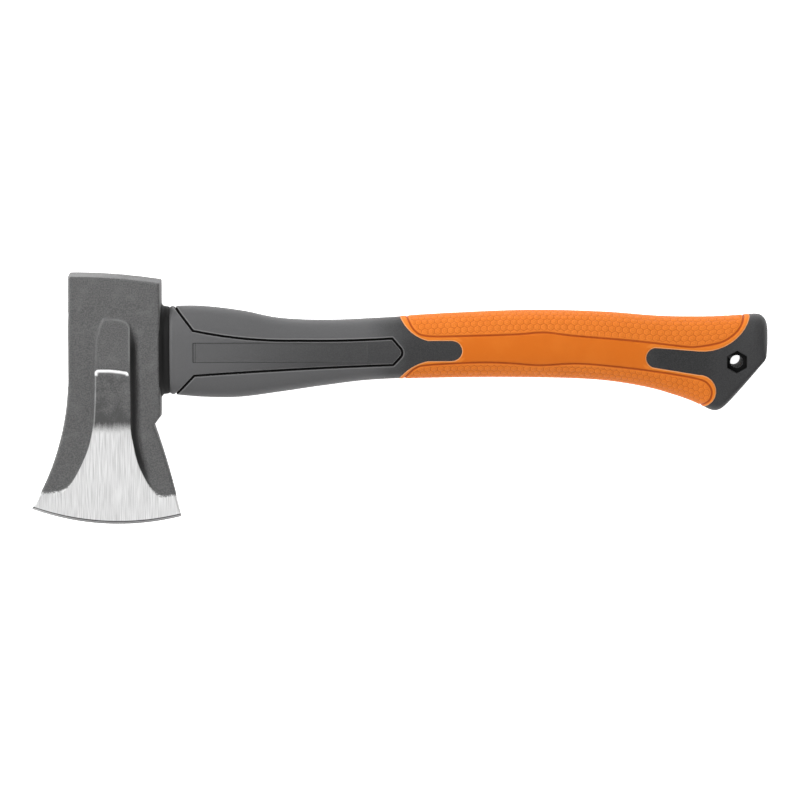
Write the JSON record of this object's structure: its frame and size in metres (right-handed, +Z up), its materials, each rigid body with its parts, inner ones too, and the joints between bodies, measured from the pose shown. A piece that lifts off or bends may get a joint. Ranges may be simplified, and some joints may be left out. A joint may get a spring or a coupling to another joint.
{
  "type": "hatchet",
  "caption": "Short splitting hatchet with a flared wedge head and a moulded handle with a soft textured grip and a hang hole.",
  "frame": {"origin": "centre of the hatchet's bounding box in X and Y, on the surface that the head's lower cheek lies on", "axes": "+X along the handle towards the butt, +Y towards the poll, +Z up through the thickness"},
  "size_m": [0.368, 0.1263, 0.028],
  "materials": {
    "forged_steel": "matte dark forging with ground bright blade",
    "black_plastic": "matte",
    "resin": "cast epoxy",
    "fibreglass": "pultruded glass fibre",
    "black_rubber": "matte",
    "hard_plastic": "satin moulded",
    "panel_plastic": "fine satin",
    "soft_grip": "soft matte with a honeycomb texture"
  },
  "bodies": {
    "root": {"axe_head": "forged_steel", "eye_plug": "black_plastic", "eye_resin": "resin", "fibreglass_core": "fibreglass", "neck_seal": "black_rubber", "handle_body": "hard_plastic", "side_panel_upper": "panel_plastic", "side_panel_lower": "panel_plastic", "grip_sleeve": "soft_grip"}
  },
  "joints": []
}
